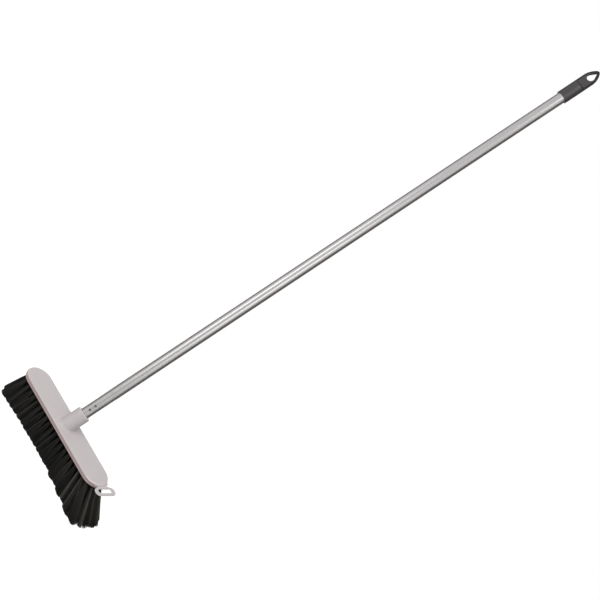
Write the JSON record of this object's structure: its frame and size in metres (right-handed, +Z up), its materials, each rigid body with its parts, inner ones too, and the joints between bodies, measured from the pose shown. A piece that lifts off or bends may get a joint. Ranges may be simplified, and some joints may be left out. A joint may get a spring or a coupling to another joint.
{
  "type": "household broom",
  "caption": "Household broom: a flat round-ended tufted head with a leaning threaded socket and a hanging eye, on a long metal tube handle with a flat hanging cap.",
  "frame": {"origin": "centre of the round end of the hanging hole in the cap, on the handle's axis", "axes": "+Z up along the handle, +X along the head towards its hanging eye, -Y towards the front of the head"},
  "size_m": [0.3193, 0.0788, 1.2996],
  "materials": {
    "head_plastic": "fine satin",
    "board_plastic": "satin",
    "bristle": "dull, soft tips",
    "anchor_wire": "drawn wire",
    "tube_metal": "satin drawn",
    "insert_plastic": "satin",
    "cap_plastic": "fine matt"
  },
  "bodies": {
    "cap": {"hanger_cap": "cap_plastic"},
    "handle": {"handle_tube": "tube_metal", "thread_insert": "insert_plastic"},
    "head": {"head_cover": "head_plastic", "tuft_board": "board_plastic", "front_tuft_row": "bristle", "front_inner_tuft_row": "bristle", "middle_tuft_row": "bristle", "rear_inner_tuft_row": "bristle", "rear_tuft_row": "bristle", "tuft_anchors": "anchor_wire"}
  },
  "joints": [
    {"name": "handle_turn", "type": "hinge", "parent": "cap", "child": "handle", "pos_m": [0, 0, -0.05], "axis": [0, 0, 1], "range_deg": [0, 1620]},
    {"name": "head_travel", "type": "slide", "parent": "cap", "child": "head", "axis": [0, 0, -1], "range_m": [0, 0.0225]}
  ],
  "couplings": [
    {"joint": "head_travel", "follows": "handle_turn", "m_per_rad": 0.00079577}
  ]
}
